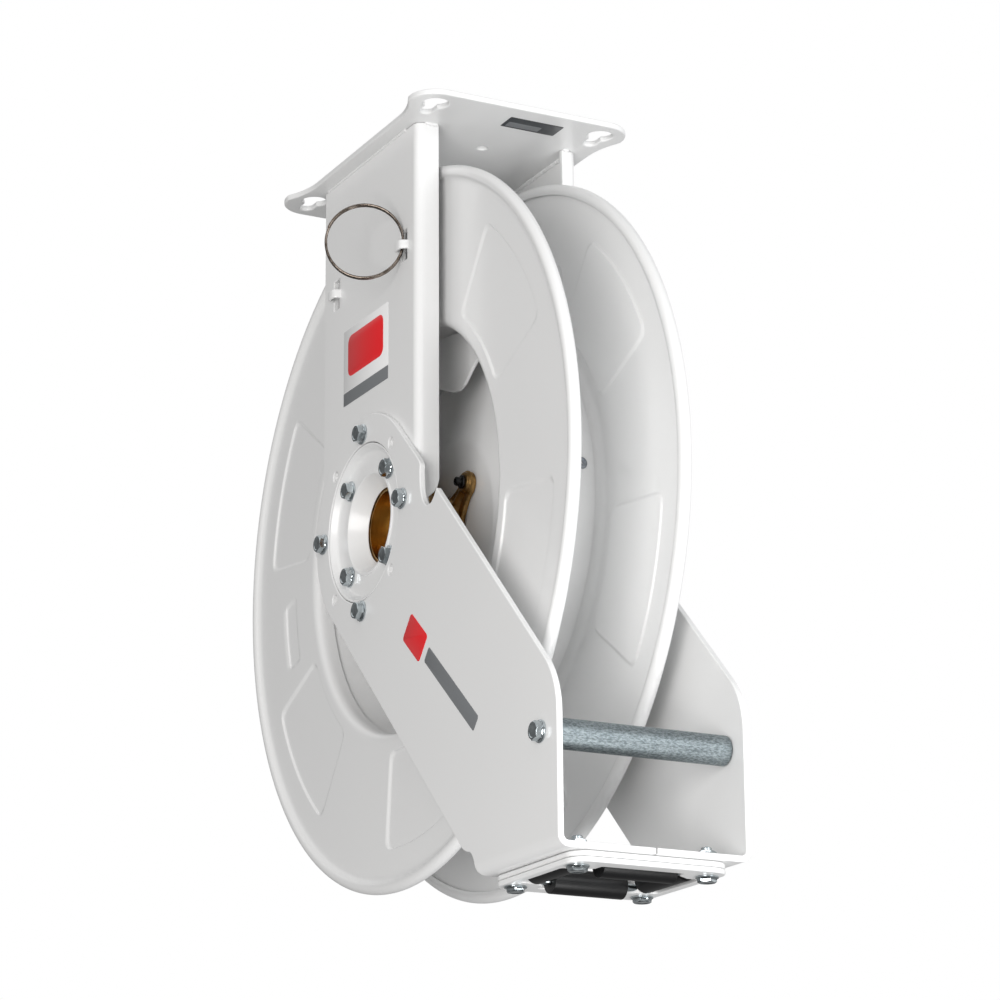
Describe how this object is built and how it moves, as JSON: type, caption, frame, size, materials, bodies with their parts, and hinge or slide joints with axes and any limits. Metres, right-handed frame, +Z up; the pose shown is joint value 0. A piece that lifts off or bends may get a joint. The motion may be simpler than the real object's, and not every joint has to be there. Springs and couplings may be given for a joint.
{
  "type": "hose reel",
  "caption": "Spring-rewind hose reel: open flanged drum between two posts under a ceiling plate, with a forward arm that carries a four-roller hose guide.",
  "frame": {"origin": "centre of the mounting plate's top face, straight above the drum axle", "axes": "+Z up, the mounting face's outward normal; +X along the drum axle from the inlet side to the spring side; -Y to the front, where the hose leaves"},
  "size_m": [0.2307, 0.628, 0.6615],
  "materials": {
    "white_paint": "white powder coat, semi-gloss",
    "zinc": "bright zinc plating",
    "plain_steel": "machined or pressed steel",
    "spring_steel": "blued strip and wire",
    "dark_wire": "dark spring wire",
    "brass": "machined brass",
    "black_steel": "blackened steel",
    "black_plastic": "moulded nylon, satin",
    "bearing_plastic": "moulded bearing plastic"
  },
  "bodies": {
    "frame": {"mounting_plate": "white_paint", "upright_left": "white_paint", "upright_right": "white_paint", "arm_left": "white_paint", "arm_right": "white_paint", "hub_flange_left": "white_paint", "hub_flange_right": "white_paint", "bearing_housing": "white_paint", "bearing_bush": "bearing_plastic", "axle_shaft": "plain_steel", "axle_nut": "zinc", "frame_bolt_left_front": "zinc", "frame_bolt_left_top": "zinc", "frame_bolt_left_back": "zinc", "frame_bolt_left_bottom": "zinc", "frame_bolt_right_front": "zinc", "frame_bolt_right_top": "zinc", "frame_bolt_right_back": "zinc", "frame_bolt_right_bottom": "zinc", "hub_bolt_left_1": "zinc", "hub_bolt_left_2": "zinc", "hub_bolt_left_3": "zinc", "hub_bolt_left_4": "zinc", "crossbar": "zinc", "crossbar_bolt_left": "zinc", "crossbar_bolt_right": "zinc", "roller_plate_upper": "white_paint", "roller_plate_lower": "white_paint", "roller_axle_front": "zinc", "roller_axle_back": "zinc", "roller_axle_left": "zinc", "roller_axle_right": "zinc", "roller_bolt_1": "zinc", "roller_bolt_2": "zinc", "roller_bolt_3": "zinc", "roller_bolt_4": "zinc", "pawl_pin": "zinc", "pawl_spring": "spring_steel"},
    "drum": {"drum_flange_left": "white_paint", "drum_flange_right": "white_paint", "drum_core": "white_paint", "drum_web": "white_paint", "swivel_body": "brass", "swivel_screw_1": "black_steel", "swivel_screw_2": "black_steel", "swivel_screw_3": "black_steel", "outlet_pipe": "plain_steel", "hose_nipple": "brass", "drum_hub": "plain_steel", "drum_bearing": "bearing_plastic", "spring_case": "plain_steel", "spring_cover": "plain_steel", "power_spring": "spring_steel", "ratchet_wheel": "plain_steel"},
    "pawl": {"pawl": "plain_steel"},
    "wire_ring": {"wire_ring": "dark_wire"},
    "roller_front": {"roller_front": "black_plastic"},
    "roller_back": {"roller_back": "black_plastic"},
    "roller_left": {"roller_left": "black_plastic"},
    "roller_right": {"roller_right": "black_plastic"}
  },
  "joints": [
    {"name": "drum_spin", "type": "hinge", "parent": "frame", "child": "drum", "pos_m": [0, 0, -0.325], "axis": [1, 0, 0], "continuous": true},
    {"name": "pawl_swing", "type": "hinge", "parent": "frame", "child": "pawl", "pos_m": [0.0511, 0.045, -0.237], "axis": [1, 0, 0], "range_deg": [0, 10], "stiffness_Nm_per_rad": 0.02, "springref_deg": -20.05},
    {"name": "ring_swing", "type": "hinge", "parent": "frame", "child": "wire_ring", "pos_m": [-0.076, -0.066, -0.107], "axis": [0, 0, 1], "range_deg": [-5, 36]},
    {"name": "roller_front_spin", "type": "hinge", "parent": "frame", "child": "roller_front", "pos_m": [0, -0.297, -0.65195], "axis": [1, 0, 0], "continuous": true},
    {"name": "roller_back_spin", "type": "hinge", "parent": "frame", "child": "roller_back", "pos_m": [0, -0.223, -0.65195], "axis": [1, 0, 0], "continuous": true},
    {"name": "roller_left_spin", "type": "hinge", "parent": "frame", "child": "roller_left", "pos_m": [-0.046, -0.26, -0.64765], "axis": [0, 1, 0], "continuous": true},
    {"name": "roller_right_spin", "type": "hinge", "parent": "frame", "child": "roller_right", "pos_m": [0.046, -0.26, -0.64765], "axis": [0, 1, 0], "continuous": true}
  ]
}
